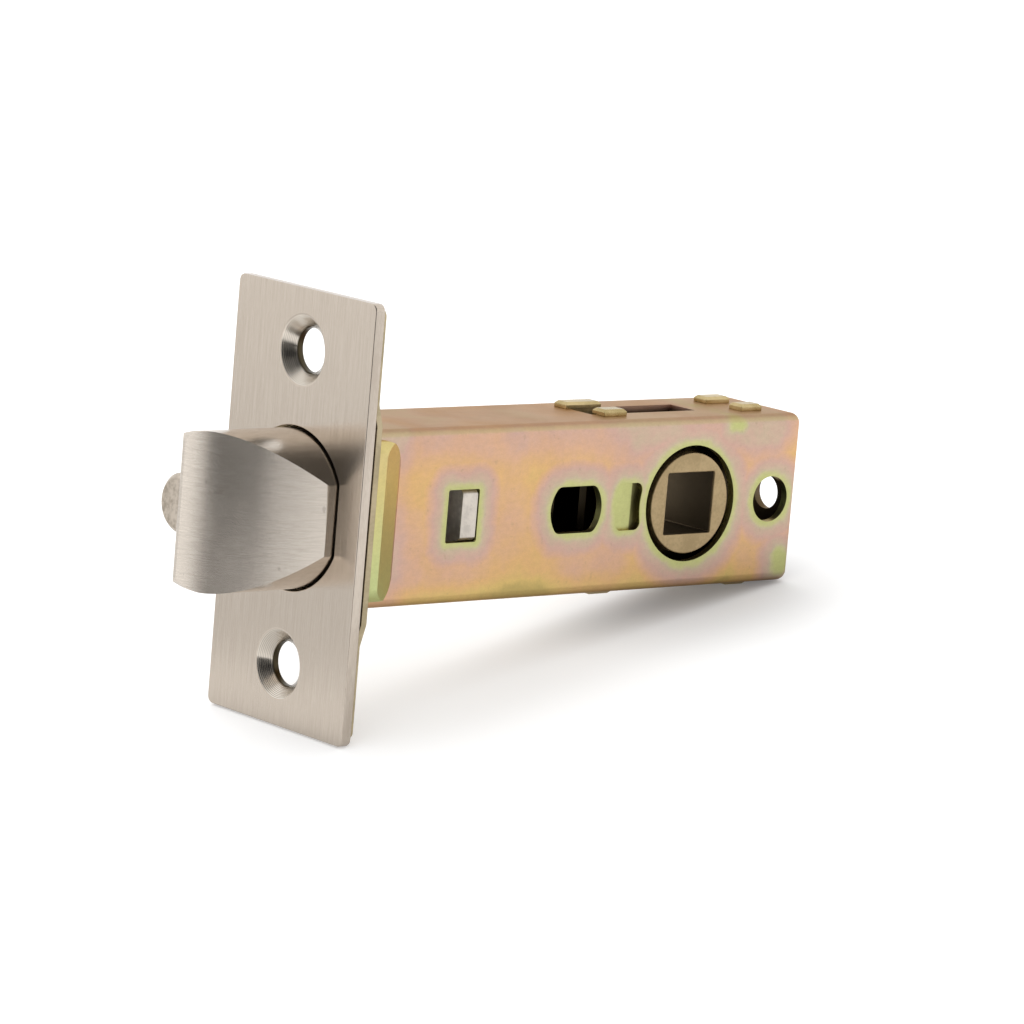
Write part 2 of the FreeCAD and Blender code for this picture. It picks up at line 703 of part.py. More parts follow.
def make_latch_bolt():
    span = ("-bolt_throw", "bolt_inside_length")
    heights = ("-bolt_radius - wall", "bolt_radius + wall")
    slab = block("bolt_slab", span, ("bolt_near", "bolt_far"), heights)
    bevel = rod("bolt_bevel", "z", ("bevel_centre_x", "bevel_centre_y"), "bolt_bevel_radius", heights)
    wedge = common("bolt_wedge", slab, bevel)
    nose = number("-bolt_throw / 2")
    rounded = round_edges("bolt_nose", wedge, "bolt_nose_radius",
                          lambda e: along(e, Vector(0, 0, 1)) and e.CenterOfMass.x < nose)
    bar = rod("bolt_bar", "x", ("0", "0"), "bolt_radius", span)
    tip = number("-bolt_reach") + 0.01
    side_view = round_edges("bolt_side_view",
                            block("bolt_side_view_box", ("-bolt_reach", "bolt_inside_length"),
                                  ("bolt_near - wall", "bolt_far + wall"),
                                  ("-bolt_radius", "bolt_radius")),
                            "bolt_tip_corner", lambda e: along(e, Vector(0, 1, 0)) and e.CenterOfMass.x < tip)
    blank = common("bolt_blank", rounded, bar, side_view)
    bore = rod("bolt_bore", "x", ("case_middle", "0"), "spring_bore_radius",
               ("web_end", "bolt_inside_length + wall"))
    slot = block("bolt_slot", ("web_start - arm_slot_gap", "bolt_inside_length + wall"),
                 ("retractor_near - arm_slot_gap", "retractor_far + arm_slot_gap"),
                 ("-arm_outer - arm_slot_gap", "arm_outer + arm_slot_gap"))
    pin_way = rod("bolt_pin_way", "y", ("tail_pin_place", "0"), "tail_pin_radius + pin_fit",
                  ("bolt_near - wall", "bolt_far + wall"))
    finish(cut("bolt_part", blank, bore, slot, pin_way), "latch_bolt")


def make_tail_pin():
    pin = rod("tail_pin_part", "y", ("tail_pin_place", "0"), "tail_pin_radius", ("bolt_near", "bolt_far"))
    finish(pin, "tail_pin")


# Retractor: one stamping, a web in the bolt and two arms that reach back past the hub

def make_retractor():
    body = new_body("retractor_body")
    face = new_sketch(body, "retractor_outline", "XZ_Plane", "-retractor_far")
    step = "block_end + band_start_gap"
    half = [("web_start", "arm_outer"), (step, "arm_outer"), (step, "band_outer"),
            ("band_end", "band_outer"), ("band_end", "band_inner"),
            (f"{step} + arm_outer - arm_inner", "band_inner"),
            (f"{step}", "arm_inner"), ("web_end", "arm_inner")]
    outline(face, half + [(x, f"-{z}") for x, z in reversed(half)])
    pad(body, "retractor_sheet", face, "retractor_thickness")
    hole = new_sketch(body, "retractor_pin_hole", "XZ_Plane", "-retractor_far")
    disc(hole, "tail_pin_place", "0", "tail_pin_radius + pin_fit")
    pocket(body, "retractor_drilling", hole, "retractor_thickness", True)
    doc.recompute()
    tabs = [block(f"retractor_{name}_tab", ("tab_face", "tab_face + tab_thickness"),
                  ("retractor_far - retractor_thickness / 2", "hub_arm_far"), span)
            for name, span in (("upper", ("band_inner", "band_outer")),
                               ("lower", ("-band_outer", "-band_inner")))]
    finish(fuse("retractor_part", body, *tabs), "retractor")


# Hub: a sintered boss with a square hole and two arms

def make_hub():
    axis = ("backset", "0")
    boss = rod("hub_boss", "y", axis, "hub_radius", ("hub_near", "hub_far"))
    arms = []
    span = ("hub_arm_near", "hub_arm_far")
    for name, sign in (("upper", 1), ("lower", -1)):
        arm = doc.addObject("Part::Box", f"hub_{name}_arm")
        bind(arm, "Length", "hub_arm_reach")
        bind(arm, "Width", "hub_arm_far - hub_arm_near")
        bind(arm, "Height", "2 * hub_arm_radius")
        arm.Placement = Placement(Vector(), Rotation(Vector(0, -sign, 0), 90 + number("hub_rest_lean")))
        bind(arm, "Placement.Rotation.Angle", "90deg + hub_rest_lean * 1deg")
        place(arm, f"backset + {sign} * hub_arm_radius * cos(hub_rest_lean * 1deg)", "hub_arm_near",
              "hub_arm_radius * sin(hub_rest_lean * 1deg)")
        knob = rod(f"hub_{name}_knob", "y", ("knob_x", "knob_z" if sign > 0 else "-knob_z"),
                   "hub_arm_radius", span)
        arms += [arm, knob]
    solid = fuse("hub_solid", boss, *arms)
    half = "hub_square / 2"
    square = block("hub_square_hole", (f"backset - {half}", f"backset + {half}"),
                   ("hub_near - wall", "hub_far + wall"), (f"-{half}", half))
    finish(cut("hub_part", solid, square), "hub")


# Plunger: a half-round bar with a heel that stops behind the inner forend

def make_plunger():
    blank = plunger_section("plunger_bar", "0", ("-plunger_throw", "plunger_inside_length"))
    tip = number("-plunger_throw") + 0.01
    eased = round_edges("plunger_eased", blank, "plunger_nose_chamfer",
                        lambda e: e.BoundBox.XMax < tip, "Part::Chamfer")
    heel = block("plunger_heel", ("forend_back + heel_gap", "forend_back + heel_gap + heel_thickness"),
                 ("far_face + heel_gap", "plunger_middle + plunger_radius / 2"),
                 ("-heel_height / 2", "heel_height / 2"))
    bore = rod("plunger_bore", "x", ("spring_middle", "0"), "plunger_bore_radius",
               ("plunger_inside_length - plunger_bore_depth", "plunger_inside_length + wall"))
    finish(cut("plunger_part", fuse("plunger_solid", eased, heel), bore), "plunger")


# Pillars that hold the cheek plates apart, turned and riveted over

def make_pillar(name, x_place, z_place):
    body = new_body(name + "_body")
    profile = new_sketch(body, name + "_profile", "XY_Plane")
    steps = [("0", "near_cheek_outer"), ("pillar_neck_radius", "near_cheek_outer"),
             ("pillar_neck_radius", "near_cheek_inner"), ("pillar_radius", "near_cheek_inner"),
             ("pillar_radius", "far_cheek_inner"), ("pillar_neck_radius", "far_cheek_inner"),
             ("pillar_neck_radius", "far_cheek_outer"), ("0", "far_cheek_outer")]
    outline(profile, steps)
    revolve(body, name + "_turning", profile, "Y_Axis")
    place(body, x_place, "0", z_place)
    finish(body, name)


# Springs: wire wound in a helix along X, in short straight lengths with mitred corners

def make_spring(name, y_place, start, end, radius, wire, turns, sides):
    lengths = round(number(turns) * number(sides))
    first = number(f"{start} + {wire} + spring_seat_gap")
    last = number(f"{end} - {wire} - spring_seat_gap")
    coil = number(radius)
    points = []
    for i in range(lengths + 1):
        angle = 2 * math.pi * i / number(sides)
        points.append(Vector(first + (last - first) * i / lengths,
                             number(y_place) + coil * math.cos(angle), coil * math.sin(angle)))
    line = doc.addObject("Part::Polygon", name + "_line")
    line.Nodes = points
    section = doc.addObject("Part::RegularPolygon", name + "_section")
    section.Polygon = 6
    bind(section, "Circumradius", wire)
    section.Placement = Placement(points[0], Rotation(Vector(0, 0, 1), points[1] - points[0]))
    sweep = doc.addObject("Part::Sweep", name + "_part")
    sweep.Sections = [section]
    sweep.Spine = (line, [f"Edge{i}" for i in range(1, lengths + 1)])
    sweep.Solid = True
    sweep.Transition = "Right corner"
    finish(sweep, name)


make_faceplate()
make_inner_forend()
make_case()
make_cheek_plate("near")
make_cheek_plate("far")
make_guide_block()
make_latch_bolt()
make_tail_pin()
make_retractor()
make_hub()
make_plunger()
make_pillar("front_pillar", "front_pillar_x", "front_pillar_lift")
make_pillar("rear_pillar", "rear_pillar_x", "0")
make_spring("bolt_spring", "case_middle", "web_end", "spring_bottom",
            "bolt_spring_radius", "bolt_spring_wire", "bolt_spring_turns", "bolt_spring_sides")
make_spring("plunger_spring", "spring_middle", "plunger_inside_length - plunger_bore_depth", "block_start",
            "plunger_spring_radius", "plunger_spring_wire", "plunger_spring_turns", "plunger_spring_sides")
doc.recompute()

# Checks, then one file for each sub-part

for obj in doc.Objects:
    if "Invalid" in obj.State or "Error" in obj.State:
        raise RuntimeError(f"{obj.Label} did not compute: {obj.State}")

os.makedirs("parts", exist_ok=True)
for obj in SUBPARTS:
    shape = obj.Shape
    if shape.isNull() or not shape.isValid():
        raise RuntimeError(f"{obj.Label} has no valid shape")
    shape.exportStep(f"parts/{obj.Label}.step")
    print(obj.Label, "solids", len(shape.Solids), "volume", round(shape.Volume, 1))
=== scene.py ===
import math

import bmesh
import bpy
from mathutils import Matrix, Vector


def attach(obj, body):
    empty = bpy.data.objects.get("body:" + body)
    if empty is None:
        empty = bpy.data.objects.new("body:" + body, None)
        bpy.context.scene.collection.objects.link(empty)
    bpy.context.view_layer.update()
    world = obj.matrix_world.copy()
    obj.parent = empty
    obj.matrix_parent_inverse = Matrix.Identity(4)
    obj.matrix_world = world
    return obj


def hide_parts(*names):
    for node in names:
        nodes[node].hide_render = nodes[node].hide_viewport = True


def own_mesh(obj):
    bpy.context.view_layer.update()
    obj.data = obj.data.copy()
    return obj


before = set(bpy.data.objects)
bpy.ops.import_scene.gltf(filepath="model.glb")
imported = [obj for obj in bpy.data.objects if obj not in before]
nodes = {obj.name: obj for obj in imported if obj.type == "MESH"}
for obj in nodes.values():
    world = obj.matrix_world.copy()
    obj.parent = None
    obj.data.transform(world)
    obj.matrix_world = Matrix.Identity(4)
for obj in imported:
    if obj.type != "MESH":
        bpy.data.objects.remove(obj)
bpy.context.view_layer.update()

MM = 0.001

# Places on the latch, in millimetres, from the middle of the faceplate's outer face

PLATE_BACK = 1.5
PLATE_BOTTOM = -28.5
SCREW_HEIGHT = 20.5
NEAR_FACE = -10.6
FAR_FACE = 5.4
CASE_MIDDLE = -2.6
HALF_HEIGHT = 11.65
FLANGE_START = 9.0
CASE_END = 79.8
WALL = 1.1
HUB_X = 60.0
REAR_LUG_END = 75.9
LUG_BOTTOM = -12.55
PLUNGER_MIDDLE = 7.425

# Openings in the case's side: middle along and up, half length, half height, corner radius
HUB_WINDOW = (HUB_X, 0.0, 7.95, 7.95, 7.95)
REAR_HOLE = (74.8, 0.0, 3.15, 3.15, 3.15)
FRONT_SLOT = (39.65, 0.0, 4.45, 3.15, 3.0)
SIDE_WINDOW = (20.1, 0.0, 2.6, 3.5, 0.3)
OPENINGS = [HUB_WINDOW, REAR_HOLE, FRONT_SLOT, SIDE_WINDOW]

# The kidney-shaped dimple in the near side, written like the openings, and its wall towards the hub
STOP_DIMPLE = (48.75, 0.0, 2.15, 3.2, 1.6)
DIMPLE_WALL_START = 49.9
DIMPLE_WALL_END = 52.0
DIMPLE_HALF_HEIGHT = 4.2

# Spots where the film stayed thin, written like the openings
THIN_SPOTS = [(67.6, 10.5, 0.9, 0.3, 0.3), (77.6, -8.8, 0.9, 1.2, 0.6)]

# Camera: the place and turn that the photograph was taken from

CAMERA_PLACE = Vector((-389.275, -490.811, 106.341)) * MM
CAMERA_RIGHT = Vector((0.76096, -0.64321, 0.08499))
CAMERA_DOWN = Vector((-0.04257, -0.18021, -0.98271))
CAMERA_AHEAD = Vector((0.64740, 0.74418, -0.16451))
FOCAL_LENGTH = 173.77
SENSOR_WIDTH = 36.0
NEAREST_SEEN = 0.05
FARTHEST_SEEN = 20.0

camera_data = bpy.data.cameras.new("camera")
camera_data.lens = FOCAL_LENGTH
camera_data.sensor_width = SENSOR_WIDTH
camera_data.clip_start = NEAREST_SEEN
camera_data.clip_end = FARTHEST_SEEN
camera = bpy.data.objects.new("camera", camera_data)
bpy.context.scene.collection.objects.link(camera)
turn = Matrix((CAMERA_RIGHT, -CAMERA_DOWN, -CAMERA_AHEAD)).transposed()
camera.matrix_world = Matrix.Translation(CAMERA_PLACE) @ turn.to_4x4()
bpy.context.scene.camera = camera
bpy.context.scene.view_settings.view_transform = "Standard"


# Node trees: short words for adding a node and joining sockets


def add(tree, kind, values=(), **settings):
    """A node with its settings, and with values or sockets put into its inputs in order."""
    node = tree.nodes.new(kind)
    for key, value in settings.items():
        setattr(node, key, value)
    for socket, value in zip(node.inputs, values):
        feed(tree, value, socket)
    return node


def feed(tree, value, socket):
    """Join a socket to an input, or write a plain value into it."""
    if isinstance(value, bpy.types.NodeSocket):
        tree.links.new(value, socket)
    else:
        socket.default_value = value


def reckon(tree, operation, values):
    """One operation on two or more numbers, worked from the left."""
    result = values[0]
    for value in values[1:]:
        result = add(tree, "ShaderNodeMath", [result, value], operation=operation).outputs[0]
    return result


def plus(tree, *values):
    return reckon(tree, "ADD", values)


def minus(tree, *values):
    return reckon(tree, "SUBTRACT", values)


def times(tree, *values):
    return reckon(tree, "MULTIPLY", values)


def least(tree, *values):
    return reckon(tree, "MINIMUM", values)


def most(tree, *values):
    return reckon(tree, "MAXIMUM", values)


def without_sign(tree, value):
    return add(tree, "ShaderNodeMath", [value], operation="ABSOLUTE").outputs[0]


def vector(tree, operation, *values):
    """An operation on vectors; a length or a dot product gives a number."""
    node = add(tree, "ShaderNodeVectorMath", values, operation=operation)
    return node.outputs["Value" if operation in ("LENGTH", "DOT_PRODUCT") else "Vector"]


def parts_of(tree, whole):
    node = add(tree, "ShaderNodeSeparateXYZ", [whole])
    return node.outputs["X"], node.outputs["Y"], node.outputs["Z"]


def ease(tree, value, start, end, low=0.0, high=1.0):
    """A smooth change from low to high while the value goes from start to end."""
    node = add(tree, "ShaderNodeMapRange", interpolation_type="SMOOTHSTEP")
    for name, number in (("Value", value), ("From Min", start), ("From Max", end),
                         ("To Min", low), ("To Max", high)):
        feed(tree, number, node.inputs[name])
    return node.outputs["Result"]


# A mix node holds inputs for numbers at 2 and 3 and for colours at 6 and 7, with results at 0 and 2


def mix_numbers(tree, amount, first, second):
    node = add(tree, "ShaderNodeMix", [amount])
    feed(tree, first, node.inputs[2])
    feed(tree, second, node.inputs[3])
    return node.outputs[0]


def mix_colours(tree, amount, first, second, kind="MIX"):
    node = add(tree, "ShaderNodeMix", [amount], data_type="RGBA", blend_type=kind)
    for socket, value in ((node.inputs[6], first), (node.inputs[7], second)):
        feed(tree, value if isinstance(value, bpy.types.NodeSocket) else (*value, 1), socket)
    return node.outputs[2]


def grey_of(tree, value):
    return add(tree, "ShaderNodeCombineColor", [value, value, value]).outputs[0]


def ramp(tree, value, stops):
    """A colour ramp of (place, colour) stops."""
    node = add(tree, "ShaderNodeValToRGB", [value])
    elements = node.color_ramp.elements
    while len(elements) < len(stops):
        elements.new(0.5)
    for element, (place, colour) in zip(elements, stops):
        element.position = place
        element.color = (*colour, 1)
    return node.outputs["Color"]


def noise(tree, place, scale, detail=2.0, roughness=0.5, output="Fac"):
    node = add(tree, "ShaderNodeTexNoise")
    for name, value in (("Vector", place), ("Scale", scale), ("Detail", detail),
                        ("Roughness", roughness)):
        feed(tree, value, node.inputs[name])
    return node.outputs[output]


def bump(tree, height, depth):
    """A surface normal from a height; the depth is in millimetres."""
    node = tree.nodes.new("ShaderNodeBump")
    feed(tree, depth * MM, node.inputs["Distance"])
    feed(tree, height, node.inputs["Height"])
    return node.outputs["Normal"]


def new_group(name, inputs, outputs):
    """A shader node group with named inputs, given as (name, kind, value), and outputs."""
    tree = bpy.data.node_groups.new(name, "ShaderNodeTree")
    for label, kind, value in inputs:
        socket = tree.interface.new_socket(label, in_out="INPUT", socket_type="NodeSocket" + kind)
        if value is not None:
            socket.default_value = value
    for label, kind in outputs:
        tree.interface.new_socket(label, in_out="OUTPUT", socket_type="NodeSocket" + kind)
    return tree, tree.nodes.new("NodeGroupInput").outputs, tree.nodes.new("NodeGroupOutput").inputs


def use_group(tree, group, **values):
    """Place a group in a tree; underscores in the names stand for spaces."""
    node = tree.nodes.new("ShaderNodeGroup")
    node.node_tree = group
    for name, value in values.items():
        feed(tree, value, node.inputs[name.replace("_", " ").capitalize()])
    return node.outputs


# Effects that several finishes use

# Keeps the fine lines apart from the coarse ones
LINE_SHIFT = (7.3, 1.9, 4.1)


def make_opening_distance():
    """How far a point of the case's side lies outside one opening, in millimetres."""
    tree, given, out = new_group("distance_from_opening", [
        ("Place", "Vector", None), ("Middle", "Vector", None), ("Half size", "Vector", None),
        ("Corner", "Float", 1.0)], [("Distance", "Float")])
    offset = vector(tree, "SUBTRACT", given["Place"], given["Middle"])
    flat = vector(tree, "MULTIPLY", vector(tree, "ABSOLUTE", offset), (1, 0, 1))
    outside = vector(tree, "MAXIMUM", vector(tree, "SUBTRACT", flat, given["Half size"]), (0, 0, 0))
    feed(tree, minus(tree, vector(tree, "LENGTH", outside), given["Corner"]), out["Distance"])
    return tree


def make_grain():
    """Brushing or drawing lines: the stretch is large across the lines and small along them."""
    tree, given, out = new_group("brushed_grain", [
        ("Place", "Vector", None), ("Stretch", "Vector", None), ("Fine scale", "Float", 9.0)],
        [("Lines", "Float")])
    stretched = vector(tree, "MULTIPLY", given["Place"], given["Stretch"])
    shifted = vector(tree, "ADD", stretched, LINE_SHIFT)
    coarse = noise(tree, stretched, 1.0, 3.0, 0.6)
    fine = noise(tree, shifted, given["Fine scale"], 1.0)
    feed(tree, plus(tree, times(tree, coarse, 0.6), times(tree, fine, 0.4)), out["Lines"])
    return tree


def make_handling():
    """Faint smudges and small specks left by handling."""
    tree, given, out = new_group("handling_marks", [
        ("Place", "Vector", None), ("Smudge size", "Float", 90.0), ("Speck size", "Float", 900.0)],
        [("Smudge", "Float"), ("Speck", "Float")])
    cloud = noise(tree, given["Place"], given["Smudge size"], 4.0)
    dots = noise(tree, given["Place"], given["Speck size"], 2.0)
    feed(tree, ease(tree, cloud, 0.35, 0.7), out["Smudge"])
    feed(tree, ease(tree, dots, 0.66, 0.78), out["Speck"])
    return tree


# A thin film is green-yellow, a thicker one turns pink, then orange and gold. Faces that point
# straight up or down get painted shade, mixed towards a dull brown.
FILM_COLOURS = [
    (0.00, (0.570, 0.580, 0.245)), (0.10, (0.600, 0.575, 0.290)), (0.22, (0.610, 0.495, 0.355)),
    (0.36, (0.655, 0.430, 0.350)), (0.52, (0.725, 0.450, 0.300)), (0.72, (0.770, 0.485, 0.225)),
    (0.88, (0.735, 0.525, 0.200)), (1.00, (0.565, 0.425, 0.160))]
FACING_SHADE_COLOUR = (0.300, 0.168, 0.070)

# The film's value on the open sheet, and the least that the folds leave of it
OPEN_FILM = 0.63
LEAST_OPEN_FILM = 0.28


def make_film():
    """The colours of a yellow passivate film, with painted shade mixed in towards dull brown."""
    tree, given, out = new_group("passivate_film", [
        ("Film", "Float", 0.5), ("Dullness", "Float", 0.0)], [("Colour", "Color")])
    colour = ramp(tree, given["Film"], FILM_COLOURS)
    feed(tree, mix_colours(tree, given["Dullness"], colour, FACING_SHADE_COLOUR), out["Colour"])
    return tree


DISTANCE = make_opening_distance()
GRAIN = make_grain()
HANDLING = make_handling()
FILM = make_film()


# Finishes: colours are (dark, light) pairs where one piece shows two shades

PLATE_SHADES = ((0.585, 0.505, 0.425), (0.665, 0.585, 0.500))
RING_SHADES = ((0.50, 0.445, 0.38), (0.80, 0.735, 0.645))
BOLT_SHADES = ((0.660, 0.590, 0.515), (0.770, 0.700, 0.620))
BOLT_SPECK = (0.33, 0.29, 0.25)
FLARE_TINTS = ((0.57, 0.67, 0.28), (0.74, 0.62, 0.25))
# Painted highlight along the case's rounded top fold
FOLD_HIGHLIGHT = (0.56, 0.46, 0.23)
SHEET_SPECK = (0.30, 0.22, 0.13)
CASE_SHADOW = (0.050, 0.034, 0.014)
SHEET_SHADOW = (0.035, 0.026, 0.013)
HOLE_SHADOW = (0.060, 0.046, 0.030)
FILM_SHEEN = (0.92, 0.82, 0.68, 1.0)

# How much the brushing is pressed together along x, y and z
PLATE_STRETCH = (700, 5200, 120)
BOLT_STRETCH = (420, 420, 9000)
SHEET_STRETCH = (900, 1500, 1500)
SHEET_FINE_SCALE = 4.0

# Bumps and turning rings, in millimetres
PLATE_DEPTH = 0.02
LINE_DEPTH = 0.006
RING_PITCH = 0.17
COUNTERSINK_RADIUS = 4.6


def new_metal(name):
    """A metal's material, its tree, its shader's inputs, and the place on the piece in metres."""
    material = bpy.data.materials.new(name)
    material.use_nodes = True
    tree = material.node_tree
    tree.nodes.clear()
    shader = tree.nodes.new("ShaderNodeBsdfPrincipled")
    shader.inputs["Metallic"].default_value = 1.0
    add(tree, "ShaderNodeOutputMaterial", [shader.outputs[0]])
    place = tree.nodes.new("ShaderNodeTexCoord").outputs["Object"]
    return material, tree, shader.inputs, place


def brushed_metal(name, shades, stretch, anisotropy, across):
    """A metal that blurs its reflections across its brushing, with its lines, marks and colour."""
    material, tree, shader, place = new_metal(name)
    shader["Anisotropic"].default_value = anisotropy
    feed(tree, add(tree, "ShaderNodeCombineXYZ", across).outputs[0], shader["Tangent"])
    lines = use_group(tree, GRAIN, place=place, stretch=stretch)["Lines"]
    marks = use_group(tree, HANDLING, place=place)
    colour = mix_colours(tree, ease(tree, lines, 0.36, 0.64), *shades)
    return material, tree, shader, place, lines, marks, colour


def smudged_roughness(tree, marks, clean, loss):
    """A roughness that rises from its clean value by the loss where a surface is smudged."""
    return plus(tree, clean, times(tree, marks["Smudge"], loss))


def screw_axis_distance(tree, place):
    """How far a point lies from the axis of the nearer screw hole, in metres."""
    _, side, up = parts_of(tree, place)
    above = minus(tree, without_sign(tree, up), SCREW_HEIGHT * MM)
    squared = plus(tree, times(tree, side, side), times(tree, above, above))
    return reckon(tree, "POWER", (squared, 0.5))


def make_plate_finish():
    """Satin nickel brushed along the plate, with turning rings in the countersinks."""
    material, tree, shader, place, lines, marks, colour = brushed_metal(
        "satin_nickel_plate", PLATE_SHADES, PLATE_STRETCH, anisotropy=0.8, across=(0, 1, 0))
    radius = screw_axis_distance(tree, place)
    below_face = ease(tree, parts_of(tree, place)[0], 0.03 * MM, 0.1 * MM)
    sunk = times(tree, below_face,
                 ease(tree, radius, (COUNTERSINK_RADIUS + 0.3) * MM, COUNTERSINK_RADIUS * MM))
    rings = add(tree, "ShaderNodeMath", [times(tree, radius, 2 * math.pi / (RING_PITCH * MM))],
                operation="SINE").outputs[0]
    turned = mix_colours(tree, ease(tree, rings, -1.0, 1.0), *RING_SHADES)
    height = plus(tree, times(tree, lines, 0.25), times(tree, rings, sunk, 0.22))
    feed(tree, mix_colours(tree, sunk, colour, turned), shader["Base Color"])
    feed(tree, smudged_roughness(tree, marks, clean=0.16, loss=0.03), shader["Roughness"])
    feed(tree, bump(tree, height, PLATE_DEPTH), shader["Normal"])
    return material


def make_bolt_finish():
    """Satin nickel brushed level, from edge to edge of the bevel, with a few dark specks."""
    material, tree, shader, _, lines, marks, colour = brushed_metal(
        "satin_nickel_brass", BOLT_SHADES, BOLT_STRETCH, anisotropy=0.5, across=(0, 0, 1))
    spot = ease(tree, marks["Speck"], 0.2, 1.0, 0.0, 0.35)
    feed(tree, mix_colours(tree, spot, colour, BOLT_SPECK), shader["Base Color"])
    feed(tree, smudged_roughness(tree, marks, clean=0.21, loss=0.06), shader["Roughness"])
    feed(tree, bump(tree, lines, LINE_DEPTH), shader["Normal"])
    return material


def distance_from(tree, place, openings):
    """The least distance from any of the openings, in millimetres."""
    found = []
    for along, up, half_length, half_height, corner in openings:
        straight = (half_length - corner, 0, half_height - corner)
        found.append(use_group(tree, DISTANCE, place=place, middle=(along, 0, up),
                               half_size=straight, corner=corner)["Distance"])
    return least(tree, *found)


def case_film(tree, place):
    """How thick the case's film is: thin round every opening, and changing along the folds.

    The place and every length here are in millimetres.
    """
    drift = noise(tree, place, 0.3, 3.0, output="Color")
    centred = vector(tree, "SUBTRACT", drift, (0.5, 0.5, 0.5))
    wander = vector(tree, "MULTIPLY", centred, (1.4, 0, 1.4))
    moved = vector(tree, "ADD", place, wander)
    side = parts_of(tree, place)[1]
    on_far_side = ease(tree, side, CASE_MIDDLE - 2.0, CASE_MIDDLE + 2.0, 0.0, 50.0)
    nearest = least(tree, distance_from(tree, moved, OPENINGS + THIN_SPOTS),
                    plus(tree, distance_from(tree, moved, [STOP_DIMPLE]), on_far_side))
    halo = plus(tree, ease(tree, nearest, -0.3, 1.7, -0.02, 0.3),
                ease(tree, nearest, 1.4, 6.2, 0.0, 0.75))
    cloud = ease(tree, noise(tree, place, 0.075, 2.0, 0.4), 0.3, 0.7, -0.16, 0.17)
    mottle = ease(tree, noise(tree, place, 0.5, 3.0, 0.6), 0.3, 0.7, -0.03, 0.03)
    along, _, up = parts_of(tree, moved)
    top = ease(tree, minus(tree, HALF_HEIGHT, up), 2.0, 7.5, -0.27, 0.0)
    bottom = ease(tree, plus(tree, HALF_HEIGHT, up), 0.6, 4.0, 0.26, 0.0)
    rear = ease(tree, minus(tree, CASE_END, along), 0.5, 5.5, 0.28, 0.0)
    front = ease(tree, along, FLANGE_START + 0.2, FLANGE_START + 3.0, -0.15, 0.0)
    open_sheet = plus(tree, OPEN_FILM, cloud, top, bottom, rear, front)
    return plus(tree, least(tree, most(tree, open_sheet, LEAST_OPEN_FILM), halo), mottle)


def case_shadow(tree, place):
    """Where the case is dark: inside, in the crease before its flare, and on the dimple's wall."""
    along, side, up = parts_of(tree, place)
    height = without_sign(tree, up)
    inside = times(tree, ease(tree, side, NEAR_FACE + 0.9, NEAR_FACE + WALL + 0.4),
                   ease(tree, side, FAR_FACE - 0.5, FAR_FACE - WALL - 0.2),
                   ease(tree, height, HALF_HEIGHT - 0.15, HALF_HEIGHT - WALL))
    crease = times(tree, ease(tree, side, NEAR_FACE - 0.13, NEAR_FACE - 0.07),
                   ease(tree, side, NEAR_FACE - 0.01, NEAR_FACE - 0.05))
    dimple_wall = times(tree, ease(tree, side, NEAR_FACE + 0.06, NEAR_FACE + 0.2),
                        ease(tree, side, NEAR_FACE + WALL, NEAR_FACE + WALL - 0.1),
                        ease(tree, along, DIMPLE_WALL_START, DIMPLE_WALL_START + 0.2),
                        ease(tree, along, DIMPLE_WALL_END, DIMPLE_WALL_END - 0.5),
                        ease(tree, height, DIMPLE_HALF_HEIGHT, DIMPLE_HALF_HEIGHT - 0.6))
    return most(tree, times(tree, inside, 0.85), times(tree, crease, 0.35),
                times(tree, dimple_wall, 0.8))


def make_case_finish():
    """Yellow passivate on the drawn case: its colour changes round every opening and fold, and
    painted shade and a painted fold highlight go on top.
    """
    material, tree, shader, place = new_metal("yellow_zinc_case")
    shader["Specular Tint"].default_value = FILM_SHEEN
    measured = vector(tree, "MULTIPLY", place, (1 / MM, 1 / MM, 1 / MM))
    _, side, up = parts_of(tree, measured)
    flared = most(tree, ease(tree, side, NEAR_FACE - 0.02, NEAR_FACE - 0.3),
                  ease(tree, side, FAR_FACE + 0.02, FAR_FACE + 0.3))
    flare_colour = mix_colours(tree, ease(tree, up, -9.5, 10.0), *FLARE_TINTS)

    facing = parts_of(tree, tree.nodes.new("ShaderNodeNewGeometry").outputs["Normal"])[2]
    # Painted shade: faces that point up or down are mixed towards dull brown
    dullness = ease(tree, without_sign(tree, facing), 0.35, 0.9, 0.0, 0.6)
    # Painted highlight: the rounded top fold, found by where its faces point, is mixed towards a
    # yellow tint
    fold = times(tree, ease(tree, facing, 0.25, 0.5), ease(tree, facing, 0.9, 0.6))
    filmed = use_group(tree, FILM, film=case_film(tree, measured), dullness=dullness)["Colour"]
    fold_highlighted = mix_colours(tree, times(tree, fold, 0.5), filmed, FOLD_HIGHLIGHT)
    colour = mix_colours(tree, times(tree, flared, 0.85), fold_highlighted, flare_colour)

    lines = use_group(tree, GRAIN, place=place, stretch=SHEET_STRETCH,
                      fine_scale=SHEET_FINE_SCALE)["Lines"]
    marks = use_group(tree, HANDLING, place=place, smudge_size=140.0, speck_size=1100.0)
    tone = grey_of(tree, ease(tree, lines, 0.3, 0.7, 0.94, 1.04))
    toned = mix_colours(tree, 1.0, colour, tone, "MULTIPLY")
    specked = mix_colours(tree, times(tree, marks["Speck"], 0.18), toned, SHEET_SPECK)
    shaded = mix_colours(tree, case_shadow(tree, measured), specked, CASE_SHADOW)
    feed(tree, shaded, shader["Base Color"])
    feed(tree, smudged_roughness(tree, marks, clean=0.33, loss=0.08), shader["Roughness"])
    feed(tree, bump(tree, lines, LINE_DEPTH), shader["Normal"])
    return material


